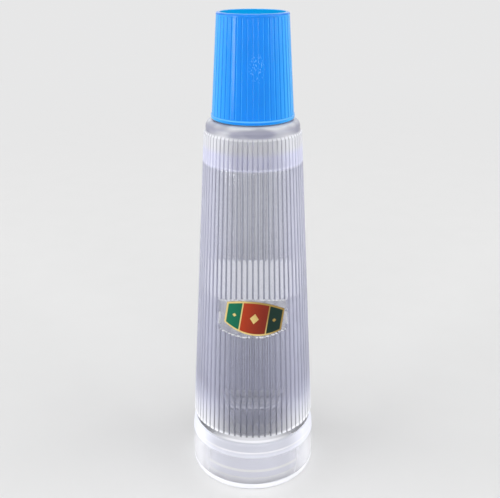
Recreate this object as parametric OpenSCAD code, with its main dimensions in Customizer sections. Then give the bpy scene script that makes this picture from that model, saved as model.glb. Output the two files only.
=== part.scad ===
// Liquid glue bottle: a clear ribbed barrel on a smooth foot, closed below by a pressed-in cup,
// with a sponge applicator in its neck and a ribbed screw cap over it.
// Millimetres, +Z up. The origin is the centre of the foot's underside, and the front faces -Y.

/* [Barrel] */
// Diameter of the smooth foot
foot_d = 36.4; // [36:0.1:38]
// Height at which the ribs end above the foot
foot_h = 18; // [16:0.5:20]
// Radius of the foot's lower edge
foot_edge = 1; // [0.4:0.1:1.2]
// Height of the plain groove between the foot and the ribs
groove_h = 2.4; // [1.5:0.1:3]
// Length of the ribbed cone
rib_len = 84.8; // [75:0.1:95]
// Diameter over the ribs at their lower end
crest_d_low = 35.4; // [34.6:0.1:35.8]
// Diameter over the ribs at their upper end
crest_d_high = 25.7; // [25.1:0.1:27]
// Number of ribs round the barrel
rib_count = 64; // [48:2:80]
// Height of a rib above the wall
rib_depth = 0.4; // [0.2:0.05:0.5]
// Length over which the ribs fade out under the shoulder
rib_fade = 0.75; // [0.5:0.25:1.5]
// Wall thickness between the ribs
wall = 1.5; // [1.2:0.1:1.7]

/* [Shoulder and neck] */
// Height of the smooth shoulder above the ribs
shoulder_h = 2.8; // [2.4:0.1:4]
// Radius of the shoulder's rounded edge
shoulder_round = 2; // [1:0.1:2.2]
// Outer diameter of the neck
neck_d = 15.8; // [15.4:0.1:16]
// Height of the neck above the shoulder
neck_h = 10.9; // [10:0.1:11.2]
// Bore of the neck
neck_bore_d = 13.2; // [12.8:0.1:13.4]

/* [Panels] */
// Width of the smooth panel on the front and on the back
panel_w = 18; // [16:0.5:20]
// Height of the front panel's straight sides
panel_side_h = 8.4; // [7.6:0.1:10]
// Height of the back panel's straight sides
back_side_h = 10.4; // [8:0.1:12]
// Rise of a panel's arched upper edge
panel_crown_top = 1.4; // [0.8:0.1:2]
// Drop of a panel's arched lower edge
panel_crown_low = 1.4; // [0.8:0.1:2]
// Height of the middle of the front panel's sides
panel_z = 54.8; // [45:0.5:65]
// Depth of a panel below the wall between the ribs
panel_sink = 0.12; // [0.08:0.02:0.2]

/* [Badge] */
// Width of the foil badge
badge_w = 15.6; // [12:0.1:15.8]
// Height of the badge's ends
badge_side_h = 5.9; // [4.5:0.1:6]
// Bow of the badge's upper and lower edges
badge_crown = 1.9; // [0.6:0.1:2]
// Thickness of the foil
badge_t = 0.2; // [0.1:0.05:0.3]
// Clockwise tilt of the badge in degrees, seen from the front
badge_tilt = 9; // [0:0.5:9]
// Distance of the badge's middle to the right of the panel's middle
badge_shift = 0.4; // [0:0.1:0.5]

/* [Base cup] */
// Hollow under the base cup
cup_recess = 3; // [2.5:0.1:5]
// Thickness of the cup's floor
cup_floor = 3; // [2:0.1:3.5]
// Height of the cup's rim above the table
cup_top = 11.6; // [11:0.1:14]
// Thickness of the cup's skirt
cup_wall = 1.5; // [1.2:0.1:1.8]
// Thickness of the foot round the cup
foot_wall = 1.6; // [1.4:0.1:1.7]

/* [Glue] */
// Height of the glue's surface
fill_z = 94.7; // [40:0.5:98]

/* [Cap] */
// Height of the cap
cap_h = 26.1; // [26:0.1:28]
// Diameter over the cap's ribs at its mouth
cap_d_low = 21.5; // [21.4:0.1:22]
// Diameter over the cap's ribs at its crown
cap_d_high = 18.2; // [17.8:0.1:18.6]
// Number of ribs round the cap
cap_rib_count = 44; // [32:2:56]
// Height of a cap rib
cap_rib_depth = 0.15; // [0.1:0.05:0.3]
// Wall thickness of the cap between its ribs
cap_wall = 1; // [0.9:0.05:1.1]
// Height of the smooth lip at the cap's mouth
cap_lip_h = 1.1; // [0.8:0.1:1.6]
// Radius of the crown's rounded edge
cap_edge = 0.5; // [0.3:0.1:1.2]
// Thickness of the crown
cap_crown_t = 1.4; // [1.2:0.1:1.6]
// Thickness of the foam seal under the crown
seal_t = 1.9; // [1.5:0.1:2]
// Diameter of the foam seal
seal_d = 14.8; // [14:0.1:15]

/* [Applicator] */
// Length of the applicator's plug inside the neck
plug_len = 6; // [4:0.1:8]
// Diameter of the plug's flange on the neck
flange_d = 15.6; // [15:0.1:16]
// Diameter of the sponge's dome
sponge_d = 11.2; // [10:0.1:11.4]
// Height of the sponge above the flange
sponge_h = 10.3; // [9:0.1:10.4]
// Diameter of the flow holes under the sponge
flow_hole_d = 2; // [1.4:0.1:2.4]
// Number of flow holes round the middle one
flow_holes = 6; // [4:1:7]

/* [Hidden] */
$fn = 96;

// Small gaps: between fixed pieces, between the capped pieces, and the depth of a buried joint
seat_gap = 0.05;
cap_gap = 0.3;
bury = 1;

// One rib in section, a broad back between narrow grooves: share of the pitch, share of the rib's height
RIB_SECTION = [[0.03, 0], [0.12, 0.5], [0.21, 0.9], [0.32, 1],
               [0.68, 1], [0.79, 0.9], [0.88, 0.5], [0.97, 0]];

// Heights along the bottle
rib_top = foot_h + rib_len;
shoulder_top = rib_top + shoulder_h;
neck_top = shoulder_top + neck_h;
cap_z = shoulder_top + cap_gap;
cap_top = cap_z + cap_h;

// Radii of the barrel
foot_r = foot_d / 2;
valley_low = crest_d_low / 2 - rib_depth;
valley_high = crest_d_high / 2 - rib_depth;
groove_r = valley_low - 0.12;
shoulder_r = valley_high - 0.1;
cup_bore_r = foot_r - foot_wall;
neck_r = neck_d / 2;
neck_bore_r = neck_bore_d / 2;

// Radius of the wall between the ribs at height z, and of the barrel's inside there
function valley_r(z) = valley_low + (valley_high - valley_low) * (z - foot_h) / rib_len;
function inside_r(z) = valley_r(z) - wall;

// Radius over the cap's ribs at height z, and of the cap's inside there
function cap_crest_r(z) = (cap_d_low + (cap_d_high - cap_d_low) * (z - cap_z) / cap_h) / 2;
function cap_valley_r(z) = cap_crest_r(z) - cap_rib_depth;
function cap_inside_r(z) = cap_valley_r(z) - cap_wall;

// Points of an elliptic arc about a centre, from one angle to another
function arc(centre, rx, ry, from, to, steps = 8) =
    [for (i = [0:steps]) let (a = from + (to - from) * i / steps)
        [centre.x + rx * cos(a), centre.y + ry * sin(a)]];

// One ring of rib corners, for a ring given as [height, valley radius, rib height]
function rib_ring(count, ring) =
    [for (i = [0:count - 1], corner = RIB_SECTION)
        let (a = (i + corner[0]) * 360 / count, r = ring[1] + ring[2] * corner[1])
            [r * cos(a), r * sin(a), ring[0]]];

// Solid cone with ribs along it, lofted through its rings from the lowest to the highest
module ribbed_cone(count, rings) {
    n = count * len(RIB_SECTION);
    last = (len(rings) - 1) * n;
    points = [for (ring = rings) each rib_ring(count, ring)];
    sides = [for (k = [0:len(rings) - 2], j = [0:n - 1])
        let (a = k * n + j, b = k * n + (j + 1) % n)
            each [[a, a + n, b + n], [a, b + n, b]]];
    low_end = [for (j = [0:n - 1]) j];
    high_end = [for (j = [n - 1:-1:0]) last + j];
    polyhedron(points, concat([low_end], sides, [high_end]));
}

// Solid cone that follows the wall between the ribs, grown by a step
module wall_cone(z_low, z_high, step) {
    translate([0, 0, z_low])
        cylinder(h = z_high - z_low, r1 = valley_r(z_low) + step, r2 = valley_r(z_high) + step);
}

// Outline with straight sides and two bowed edges, about the middle of its sides
module bowed_outline(w, side_h, crown_top, crown_low) {
    r_top = (w * w / 4 + crown_top * crown_top) / (2 * crown_top);
    r_low = (w * w / 4 + crown_low * crown_low) / (2 * crown_low);
    intersection() {
        square([w, 2 * side_h], center = true);
        translate([0, side_h / 2 + crown_top - r_top]) circle(r_top);
        translate([0, r_low - side_h / 2 - crown_low]) circle(r_low);
    }
}

// Prism from the axis out through the front, at height z
module through_front(z) {
    translate([0, 0, z])
        rotate([90, 0, 0])
            linear_extrude(height = foot_d) children();
}

// What a smooth panel takes out of the ribs, given its sides' height and their middle
module panel_recess(side_h, z) {
    difference() {
        through_front(z)
            bowed_outline(panel_w, side_h, panel_crown_top, panel_crown_low);
        wall_cone(z - side_h, z + side_h, -panel_sink);
    }
}

// Plain foot with a rounded lower edge, in which the ribs' lower ends are buried
module foot_blank() {
    rotate_extrude()
        polygon(concat(
            [[0, 0]],
            arc([foot_r - foot_edge, foot_edge], foot_edge, foot_edge, -90, 0, 6),
            [[foot_r, foot_h - bury / 2], [0, foot_h - bury / 2]]));
}

// What rolls the foot's upper edge into the groove and squares off the ribs above it
module groove_cut() {
    roll_z = foot_h / 2;
    roll_h = foot_h - groove_h - roll_z;
    clear_r = foot_r + bury;
    rotate_extrude()
        polygon(concat(
            [[clear_r, roll_z]],
            arc([groove_r, roll_z], foot_r - groove_r, roll_h, 0, 90, 10),
            [[groove_r, foot_h], [clear_r, foot_h]]));
}

// Plain neck on a blank for the shoulder, in which the ribs' upper ends are buried
module neck_blank() {
    neck_edge = 0.4;
    blank_r = crest_d_high / 2 + bury;
    rotate_extrude()
        polygon([
            [0, rib_top + bury / 2], [blank_r, rib_top + bury / 2], [blank_r, shoulder_top],
            [neck_r, shoulder_top], [neck_r, neck_top - neck_edge],
            [neck_r - neck_edge, neck_top], [0, neck_top]]);
}

// What rounds the shoulder and slopes off the ribs' upper ends
module shoulder_cut() {
    clear_r = crest_d_high / 2 + 2 * bury;
    slope = rib_fade / (crest_d_high / 2 - shoulder_r);
    round_r = shoulder_r - shoulder_round;
    rotate_extrude()
        polygon(concat(
            [[clear_r, rib_top - slope * (clear_r - shoulder_r)], [shoulder_r, rib_top]],
            arc([round_r, shoulder_top - shoulder_round], shoulder_round, shoulder_round, 0, 90),
            [[round_r, shoulder_top + bury], [clear_r, shoulder_top + bury]]));
}

// Inside of the barrel: bore for the base cup, ledge, glue chamber, shoulder and neck bore
module barrel_cavity() {
    ledge_z = cup_top + seat_gap;
    roof_z = shoulder_top - wall;
    roof_round = 2;
    roof_r = inside_r(rib_top);
    rotate_extrude()
        polygon(concat(
            [[0, -bury], [cup_bore_r, -bury], [cup_bore_r, ledge_z], [inside_r(ledge_z), ledge_z]],
            arc([roof_r - roof_round, roof_z - roof_round], roof_round, roof_round, 0, 90, 6),
            [[neck_bore_r, roof_z], [neck_bore_r, neck_top + bury], [0, neck_top + bury]]));
}

module barrel() {
    rib_low = foot_h - bury;
    rib_high = rib_top + bury;
    back_z = panel_z + (back_side_h - panel_side_h) / 2;
    color([0.84, 0.85, 0.93, 0.5])
        difference() {
            union() {
                ribbed_cone(rib_count, [
                    [rib_low, valley_r(rib_low), rib_depth],
                    [rib_high, valley_r(rib_high), rib_depth]]);
                foot_blank();
                neck_blank();
            }
            groove_cut();
            shoulder_cut();
            barrel_cavity();
            panel_recess(panel_side_h, panel_z);
            rotate([0, 0, 180]) panel_recess(back_side_h, back_z);
        }
}

// Shallow cup pressed up into the foot until its rim meets the barrel's ledge
module base_cup() {
    cup_r = cup_bore_r - seat_gap;
    floor_z = cup_recess + cup_floor;
    lead = 0.3;
    floor_round = 0.8;
    inner_r = cup_r - cup_wall;
    color([0.88, 0.89, 0.95, 0.5])
        rotate_extrude()
            polygon(concat(
                [[0, cup_recess], [cup_r, cup_recess], [cup_r, cup_top - lead]],
                [[cup_r - lead, cup_top], [inner_r, cup_top]],
                arc([inner_r - floor_round, floor_z + floor_round], floor_round, floor_round, 0, -90, 6),
                [[0, floor_z]]));
}

// Glue that fills the cup and the cone up to its surface
module glue() {
    cup_r = cup_bore_r - cup_wall - 2 * seat_gap;
    floor_z = cup_recess + cup_floor + seat_gap;
    rim_z = cup_top + 2 * seat_gap;
    edge = 0.9;
    color([0.9, 0.91, 0.95, 0.4])
        rotate_extrude()
            polygon([
                [0, floor_z], [cup_r - edge, floor_z], [cup_r, floor_z + edge], [cup_r, rim_z],
                [inside_r(rim_z) - seat_gap, rim_z], [inside_r(fill_z) - seat_gap, fill_z], [0, fill_z]]);
}

// Thin foil badge, bent round the front panel
module badge() {
    under = seat_gap - panel_sink;
    low = panel_z - panel_side_h;
    high = panel_z + panel_side_h;
    color([0.75, 0.2, 0.08])
        intersection() {
            through_front(panel_z)
                translate([badge_shift, 0])
                    rotate(-badge_tilt)
                        bowed_outline(badge_w, badge_side_h, badge_crown, badge_crown);
            difference() {
                wall_cone(low, high, under + badge_t);
                wall_cone(low - bury, high + bury, under);
            }
        }
}

// Heights and radii that the applicator's pieces share
flange_t = 1.2;
deck_z = neck_top + seat_gap + flange_t;
sponge_r = sponge_d / 2;
sponge_foot_t = 1.3;
sponge_foot_r = sponge_r + 0.9;
ring_t = 1.2;

// Plug that snaps into the neck, with a flange on the rim and a deck of flow holes
module neck_plug() {
    plug_r = neck_bore_r - seat_gap;
    plug_wall = 1.1;
    lead = 0.5;
    bead = 0.25;
    low = neck_top + seat_gap - plug_len;
    color([0.93, 0.93, 0.9])
        difference() {
            rotate_extrude()
                polygon([
                    [0, deck_z - flange_t], [plug_r - plug_wall, deck_z - flange_t],
                    [plug_r - plug_wall, low], [plug_r - lead, low], [plug_r - bead, low + lead],
                    [plug_r - bead, deck_z - 2 * flange_t], [plug_r, deck_z - 2 * flange_t + bead],
                    [plug_r, deck_z - flange_t], [flange_d / 2, deck_z - flange_t],
                    [flange_d / 2, deck_z], [0, deck_z]]);
            for (i = [0:flow_holes])
                rotate([0, 0, i * 360 / flow_holes])
                    translate([i < flow_holes ? sponge_r * 0.62 : 0, 0, deck_z - flange_t - bury])
                        cylinder(d = flow_hole_d, h = flange_t + 2 * bury, $fn = 32);
        }
}

// Sponge with a flat foot under the ring and a round dome above it
module sponge_tip() {
    low = deck_z + seat_gap;
    foot_top = low + sponge_foot_t;
    dome_z = low + sponge_h - sponge_r;
    color([0.95, 0.9, 0.72])
        rotate_extrude()
            polygon(concat(
                [[0, low], [sponge_foot_r, low], [sponge_foot_r, foot_top], [sponge_r, foot_top]],
                arc([0, dome_z], sponge_r, sponge_r, 0, 90, 16)));
}

// Ring that clamps the sponge's foot down on the plug's deck
module sponge_ring() {
    low = deck_z + seat_gap;
    lip_z = low + sponge_foot_t + seat_gap;
    hold_r = sponge_foot_r + seat_gap;
    lip_r = sponge_r + seat_gap;
    ring_r = flange_d / 2;
    edge = 0.5;
    color([0.95, 0.95, 0.93])
        rotate_extrude()
            polygon(concat(
                [[hold_r, low], [ring_r, low]],
                arc([ring_r - edge, lip_z + ring_t - edge], edge, edge, 0, 90, 5),
                [[lip_r, lip_z + ring_t], [lip_r, lip_z], [hold_r, lip_z]]));
}

// Foam disc that lies loose under the crown and closes over the sponge
module cap_seal() {
    seal_top = cap_top - cap_crown_t - 0.15;
    edge = 0.3;
    color([0.92, 0.92, 0.9])
        rotate_extrude()
            polygon([
                [0, seal_top - seal_t], [seal_d / 2 - edge, seal_top - seal_t],
                [seal_d / 2, seal_top - seal_t + edge], [seal_d / 2, seal_top], [0, seal_top]]);
}

// Inside of the cap, with a small bead that keeps the seal in the crown
module cap_cavity() {
    crown_z = cap_top - cap_crown_t;
    bead_z = crown_z - seal_t - 0.9;
    bead_h = 0.4;
    bead_in = 0.6;
    bead_r = cap_inside_r(bead_z) - bead_in;
    rotate_extrude()
        polygon([
            [0, cap_z - bury], [cap_inside_r(cap_z), cap_z - bury],
            [cap_inside_r(cap_z), cap_z],
            [cap_inside_r(bead_z - bead_h), bead_z - bead_h], [bead_r, bead_z],
            [cap_inside_r(bead_z + bead_h), bead_z + bead_h],
            [cap_inside_r(crown_z), crown_z], [0, crown_z]]);
}

module cap_shell() {
    band_z = cap_top - cap_edge - 0.3;
    lip_z = cap_z + cap_lip_h;
    lip_r = cap_crest_r(cap_z) + 0.12;
    lip_edge = 0.3;
    band_r = cap_crest_r(band_z) + 0.02;
    overlap = 0.25;
    color([0.12, 0.52, 0.93])
        difference() {
            union() {
                ribbed_cone(cap_rib_count, [
                    [lip_z - overlap, cap_valley_r(lip_z - overlap), cap_rib_depth],
                    [band_z + overlap, cap_valley_r(band_z + overlap), cap_rib_depth]]);
                rotate_extrude()
                    polygon([
                        [0, cap_z], [lip_r - lip_edge, cap_z], [lip_r, cap_z + lip_edge],
                        [lip_r, lip_z - lip_edge], [lip_r - lip_edge, lip_z], [0, lip_z]]);
                rotate_extrude()
                    polygon(concat(
                        [[0, band_z], [band_r, band_z]],
                        arc([band_r - cap_edge, cap_top - cap_edge], cap_edge, cap_edge, 0, 90),
                        [[0, cap_top]]));
            }
            cap_cavity();
        }
}

barrel();
base_cup();
glue();
badge();
neck_plug();
sponge_tip();
sponge_ring();
cap_seal();
cap_shell();
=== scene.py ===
# %% [markdown]
# # A ribbed bottle of liquid glue
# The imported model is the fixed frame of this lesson: it says where every part is and which body carries
# it. Blender adds the looks. Clear plastic, liquid and foil show every facet, so most parts are turned
# again here as finer meshes that stand in the very same place, and each one rides on the body that carries
# its solid part. Sizes are written in millimetres, and MM turns them into Blender's metres.

# %% Load the frame
import math

import bpy
import numpy as np
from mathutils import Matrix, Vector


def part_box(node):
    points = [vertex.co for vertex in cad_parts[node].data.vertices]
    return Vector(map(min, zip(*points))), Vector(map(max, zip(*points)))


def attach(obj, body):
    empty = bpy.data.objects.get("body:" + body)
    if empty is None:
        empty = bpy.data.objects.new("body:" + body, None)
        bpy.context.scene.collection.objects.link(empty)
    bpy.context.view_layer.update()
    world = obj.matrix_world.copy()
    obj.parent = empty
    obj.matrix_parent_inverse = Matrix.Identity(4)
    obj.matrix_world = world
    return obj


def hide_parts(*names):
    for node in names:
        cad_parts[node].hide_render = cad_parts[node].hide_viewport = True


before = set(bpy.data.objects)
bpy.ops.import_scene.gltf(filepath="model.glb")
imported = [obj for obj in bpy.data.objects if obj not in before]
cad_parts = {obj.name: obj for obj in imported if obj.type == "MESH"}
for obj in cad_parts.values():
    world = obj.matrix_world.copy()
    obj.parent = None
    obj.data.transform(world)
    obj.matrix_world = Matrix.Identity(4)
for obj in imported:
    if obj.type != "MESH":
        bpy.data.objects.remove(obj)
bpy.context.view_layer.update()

MM = 0.001

# %% [markdown]
# ## Camera
# The photograph was taken close to the bottle and from above, which is why the cap looks so large and the
# foot so round. A lens keeps its perspective only at the right distance, so the distance, height and tilt
# come first and the focal length follows from them. The bottle's axis stands a little right of the middle:
# a small shift does that.

# %% Make the camera
PHOTO_WIDTH = 500
PHOTO_AXIS_X = 252.85
FOCAL_PIXELS = 725.3
SENSOR_WIDTH = 36.0
CAMERA_BACK = 187.1 * MM
CAMERA_HEIGHT = 146.2 * MM
CAMERA_TILT = math.radians(22.49)

scene = bpy.context.scene
camera_data = bpy.data.cameras.new("camera")
camera_data.sensor_width = SENSOR_WIDTH
camera_data.lens = FOCAL_PIXELS / PHOTO_WIDTH * SENSOR_WIDTH
camera_data.shift_x = 0.5 - PHOTO_AXIS_X / PHOTO_WIDTH
camera = bpy.data.objects.new("camera", camera_data)
camera.location = (0, -CAMERA_BACK, CAMERA_HEIGHT)
camera.rotation_euler = (math.pi / 2 - CAMERA_TILT, 0, 0)
scene.collection.objects.link(camera)
scene.camera = camera
print("lens, mm:", round(camera_data.lens, 2))

# %% [markdown]
# ## Turning a profile
# Almost every part of a bottle is turned about one axis. Blender's Screw modifier could do that, but the
# ribs have to rise and fade along the way, so a small lathe in code is better: it takes a profile of
# (radius, height) points, turns it through a list of angles, and lets a relief function push each point
# out or in.

# %% Lathe
SHARP_EDGE = math.radians(35)


def arc(r, z, radius, start, stop, steps, rise=None):
    """Points on a round arc about (r, z) between two angles in degrees. An oval one has its own rise."""
    rise = radius if rise is None else rise
    angles = np.radians(np.linspace(start, stop, steps + 1))
    return [(r + radius * math.cos(a), z + rise * math.sin(a)) for a in angles]


def even_angles(columns):
    return np.arange(columns) * math.tau / columns


def new_object(name, vertices, faces):
    mesh = bpy.data.meshes.new(name)
    mesh.from_pydata(vertices, [], faces)
    mesh.shade_smooth()
    mesh.set_sharp_from_angle(angle=SHARP_EDGE)
    made = bpy.data.objects.new(name, mesh)
    scene.collection.objects.link(made)
    print(name, "has", len(mesh.polygons), "faces")
    return made


def lathe(name, profile, angles, relief=None):
    """Turns a profile in millimetres. It starts and ends on the axis, or else it is a closed ring."""
    rows = np.array(profile, float)
    count = len(angles)
    radius = np.repeat(rows[:, :1], count, axis=1)
    height = rows[:, 1:]
    if relief:
        radius = radius + relief(radius, height, angles[None, :])
    points = np.stack([
        radius * np.cos(angles),
        radius * np.sin(angles),
        np.repeat(height, count, axis=1)], axis=-1) * MM
    solid = rows[0, 0] == 0
    body = points[1:-1] if solid else points
    vertices = [tuple(p) for p in body.reshape(-1, 3)]
    ring_count = len(body)
    faces = []
    for i in range(ring_count - 1 if solid else ring_count):
        low = i * count
        high = (i + 1) % ring_count * count
        for j in range(count):
            k = (j + 1) % count
            faces.append((low + j, low + k, high + k, high + j))
    if solid:
        first = len(vertices)
        last = first + 1
        vertices += [tuple(points[0, 0]), tuple(points[-1, 0])]
        top = (ring_count - 1) * count
        for j in range(count):
            k = (j + 1) % count
            faces.append((first, k, j))
            faces.append((top + j, top + k, last))
    return new_object(name, vertices, faces)


def settle(piece, body, slot, materials, *nodes):
    """Gives a piece its finish, ties it to its body and hides the solid part that it stands for."""
    for material in materials:
        piece.data.materials.append(material)
    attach(piece, body)
    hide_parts(*nodes)


# %% [markdown]
# ## Shader maths
# Node trees are easier to read as sums than as boxes. One small class wraps a socket, so that 1 - mask or
# a * b adds the Math node by itself, and one method makes any other node from its type, its settings and
# its sockets. After it come the few nodes that almost every finish of the bottle uses.

# %% Wires between nodes
class Wire:
    """A value inside a material, with its arithmetic written as Python."""

    def __init__(self, socket):
        self.socket = socket
        self.tree = socket.id_data

    @staticmethod
    def feed(value, target):
        if isinstance(value, Wire):
            value.tree.links.new(value.socket, target)
        else:
            target.default_value = value

    @classmethod
    def node(cls, tree, kind, settings=None, sockets=None, output=0):
        made = tree.nodes.new("ShaderNode" + kind)
        for key, value in (settings or {}).items():
            setattr(made, key, value)
        for key, value in (sockets or {}).items():
            cls.feed(value, made.inputs[key])
        return cls(made.outputs[output])

    def math(self, operation, other=0.0, swapped=False):
        pair = (other, self) if swapped else (self, other)
        return Wire.node(self.tree, "Math", {"operation": operation}, dict(enumerate(pair)))

    def __add__(self, other):
        return self.math("ADD", other)

    def __sub__(self, other):
        return self.math("SUBTRACT", other)

    def __mul__(self, other):
        return self.math("MULTIPLY", other)

    def __pow__(self, other):
        return self.math("POWER", other)

    def __radd__(self, other):
        return self.math("ADD", other, True)

    def __rsub__(self, other):
        return self.math("SUBTRACT", other, True)

    def __rmul__(self, other):
        return self.math("MULTIPLY", other, True)

    def size(self):
        return self.math("ABSOLUTE")

    def above(self, edge, soft):
        """0 below the edge and 1 above it, with a soft step between."""
        sockets = {"Value": self, 1: edge - soft, 2: edge + soft}
        return Wire.node(self.tree, "MapRange", {"interpolation_type": "SMOOTHSTEP"}, sockets)

    def below(self, edge, soft):
        return 1 - self.above(edge, soft)


# %% Nodes that most finishes use
def new_finish(name, **constants):
    """A Principled material whose even values are set on the shader itself."""
    material = bpy.data.materials.new(name)
    material.use_nodes = True
    tree = material.node_tree
    shader = next(n for n in tree.nodes if n.type == "BSDF_PRINCIPLED")
    for key, value in constants.items():
        shader.inputs[key.replace("_", " ")].default_value = value
    return material, tree, shader


def place(tree):
    """Position on the part in metres."""
    return Wire.node(tree, "TexCoord", output="Object")


def axes(spot, wanted="XYZ"):
    """The numbers of a position along the axes that are wanted."""
    return [Wire.node(spot.tree, "SeparateXYZ", sockets={0: spot}, output=axis) for axis in wanted]


def noise(spot, scale, detail=2.0):
    """Noise from 0 to 1, with its scale in waves to the metre."""
    return Wire.node(spot.tree, "TexNoise", sockets={"Vector": spot, "Scale": scale, "Detail": detail})


def stretched(spot, scale):
    return Wire.node(spot.tree, "VectorMath", {"operation": "MULTIPLY"}, {0: spot, 1: scale})


def mixed(share, first, second):
    """A colour between two others."""
    return Wire.node(share.tree, "Mix", {"data_type": "RGBA"}, {0: share, 6: first, 7: second}, 2)


def paint(shader, **values):
    """Feeds what changes over a surface into the shader."""
    for key, value in values.items():
        Wire.feed(value, shader.inputs[key.replace("_", " ")])


def bump(shader, height, strength, depth):
    sockets = {"Height": height, "Strength": strength, "Distance": depth}
    paint(shader, Normal=Wire.node(height.tree, "Bump", sockets=sockets))


def show_both(share, first, second):
    """Sends a mix of two shaders to the material's output."""
    both = Wire.node(share.tree, "MixShader", sockets={0: share, 1: first, 2: second})
    Wire.feed(both, share.tree.nodes["Material Output"].inputs["Surface"])


# %% [markdown]
# ## Plastic that is almost clear
# The barrel is moulded in a clear plastic with a little haze in it. Glass alone would look too hard, so two
# shaders are mixed: one refracts, with full transmission, and one is a pale milk. Haze builds up with the
# length of plastic that we look through, and that is longest at the rim of the bottle, so Layer Weight
# tells how far the wall turns away and the haze follows it. Moulded plastic is never quite flat: a slow
# noise in the bump makes the reflections swim a little, and a fine one in the roughness is the wear of
# handling. Each finish brings three functions of the place: how much haze, which tint and which milk.

# %% Hazy plastic
PLASTIC_IOR = 1.5
MILK_ROUGHNESS = 0.35
WEAR_SCALE = 900.0
SWIM_SCALE = 160.0
CLOUD_SCALE = 70.0


class Here:
    """A place on a part as its material sees it: where it is, and how far the wall turns from the eye."""

    def __init__(self, tree):
        self.tree = tree
        self.spot = place(tree)
        self.x, self.y, self.z = axes(self.spot)
        self.level = stretched(self.spot, (1, 1, 0))
        outward = Wire.node(tree, "VectorMath", {"operation": "NORMALIZE"}, {0: self.level})
        sockets = {"Blend": 0.5, "Normal": outward}
        self.facing = Wire.node(tree, "LayerWeight", sockets=sockets, output="Facing")

    def far_wall(self):
        """1 on an outer face that is met from inside, as on the far wall, and 0 on the near wall."""
        return Wire.node(self.tree, "NewGeometry", output="Backfacing")


def hazy_plastic(name, gloss, grain, haze, tint, milk):
    """Takes the roughness and its grain, then the functions for haze, clear tint and milk."""
    material, tree, clear = new_finish(name, IOR=PLASTIC_IOR, Transmission_Weight=1.0)
    here = Here(tree)
    wear = noise(here.spot, WEAR_SCALE, 4.0)
    paint(clear, Roughness=gloss + grain * wear, Base_Color=tint(here))
    bump(clear, noise(here.spot, SWIM_SCALE), 0.04, 0.4 * MM)
    sockets = {"Base Color": milk(here), "Roughness": MILK_ROUGHNESS}
    milky = Wire.node(tree, "BsdfPrincipled", sockets=sockets)
    cloud = 0.9 + 0.2 * noise(here.spot, CLOUD_SCALE, 3.0)
    show_both(haze(here) * cloud, Wire(clear.outputs[0]), milky)
    return material


# %% [markdown]
# ## Where the barrel is grey and where it is milky
# On a pale floor clear ribs would all but vanish, and it is grey that makes them show. So the tint of the
# clear shader is painted shade: deeper low down, where the cone is wide, deepest in the grooves between the
# ribs, deeper on the far wall than on the near one, which the Geometry node can tell apart, and grey in the
# shoulder. The milk has its own places: a painted glow in the rolled edge of the foot and on the ribs just
# above it, painted highlights along two lines of the foot and at both ends of the ribs, the wall above the
# glue, where a film has dried, and painted highlights and shade in soft patches in the shoulder. A painted
# image could hold all that, but soft steps along the height stay sharp from any distance and need no
# unwrapping.

# %% Colours and heights
PLASTIC_TINT = (0.99, 0.99, 1.0, 1)
# Painted shade: these tints darken the clear plastic where dark surroundings would show through it.
HIGH_RIB_SHADE = (0.72, 0.73, 0.80, 1)
LOW_RIB_SHADE = (0.345, 0.353, 0.458, 1)
HIGH_GROOVE_SHADE = (0.36, 0.37, 0.46, 1)
LOW_GROOVE_SHADE = (0.24, 0.25, 0.34, 1)
SHOULDER_CLEAR_SHADE = (0.55, 0.56, 0.66, 1)
NEAR_WALL = 1.25
FAR_WALL = 0.8
HAZE_MILK = (0.78, 0.79, 1.0, 1)
# Painted light: white milk for a glow near the foot and on the rib ends, a glow on the foot's roll, and two
# highlight lines on it.
WHITE_MILK = (0.93, 0.935, 0.985, 1)
ROLL_GLOW_MILK = (0.84, 0.855, 0.96, 1)
LINE_HIGHLIGHT = (0.90, 0.90, 0.94, 1)
# Painted shade and painted highlight for the milk of the shoulder.
SHOULDER_MILK_SHADE = (0.32, 0.325, 0.42, 1)
SHOULDER_MILK_HIGHLIGHT = (0.98, 0.985, 1.0, 1)
RIB_COUNT = 64
FOOT_H = 18.0
ROLL_LOW = 11.3
ROLL_LINE = 12.9
ROLL_HIGH = 15.9
GROOVE_LINE = 16.3
RIB_HEEL = 18.6
WHITE_GLOW_TOP = 24.0
FOOT_GLOW_TOP = 26.0
GROOVE_PALER_Z = 33.0
RIB_PALER_Z = 54.0
SOFT_GROOVE_Z = 80.0
RIB_TOP = 102.8
RIB_TIP = RIB_TOP - 0.45
SHOULDER_TOP = 105.6
SHOULDER_BEND = SHOULDER_TOP - 0.7
FILL_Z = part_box("glue")[1].z / MM
DRIED_Z = FILL_Z + 4.3
print("fill line and dried film, mm:", round(FILL_Z, 2), round(DRIED_Z, 2))


# %% Masks of the barrel
def groove_mask(here):
    """1 in the narrow grooves between the ribs, 0 on their backs."""
    turn = here.y.math("ARCTAN2", here.x) * (RIB_COUNT / math.tau)
    return (turn.math("FRACT") - 0.5).size().above(0.38, 0.07)


def on_roll(z):
    """1 on the rolled edge of the foot."""
    return z.above(ROLL_LOW * MM, 0.3 * MM) * z.below(ROLL_HIGH * MM, 0.4 * MM)


def foot_highlight_lines(z):
    """1 along the two lines of painted highlight on the rolled foot."""
    upper = (z - GROOVE_LINE * MM).size().below(0.4 * MM, 0.3 * MM)
    return upper + (z - ROLL_LINE * MM).size().below(0.25 * MM, 0.2 * MM)


def above_fill(z):
    return z.above(FILL_Z * MM, 0.5 * MM)


def dried_film(z):
    return z.above(DRIED_Z * MM, 1.2 * MM)


def on_shoulder(z):
    """1 between the tops of the ribs and the neck."""
    return z.above(RIB_TOP * MM, 0.4 * MM) * z.below((SHOULDER_TOP + 0.3) * MM, 0.3 * MM)


def shoulder_light_patches(spot):
    """Broad, soft patches of painted highlight in the shoulder, with painted shade between them."""
    return noise(stretched(spot, (120, 120, 280)), 1.0, 1.0).above(0.52, 0.16)


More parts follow.
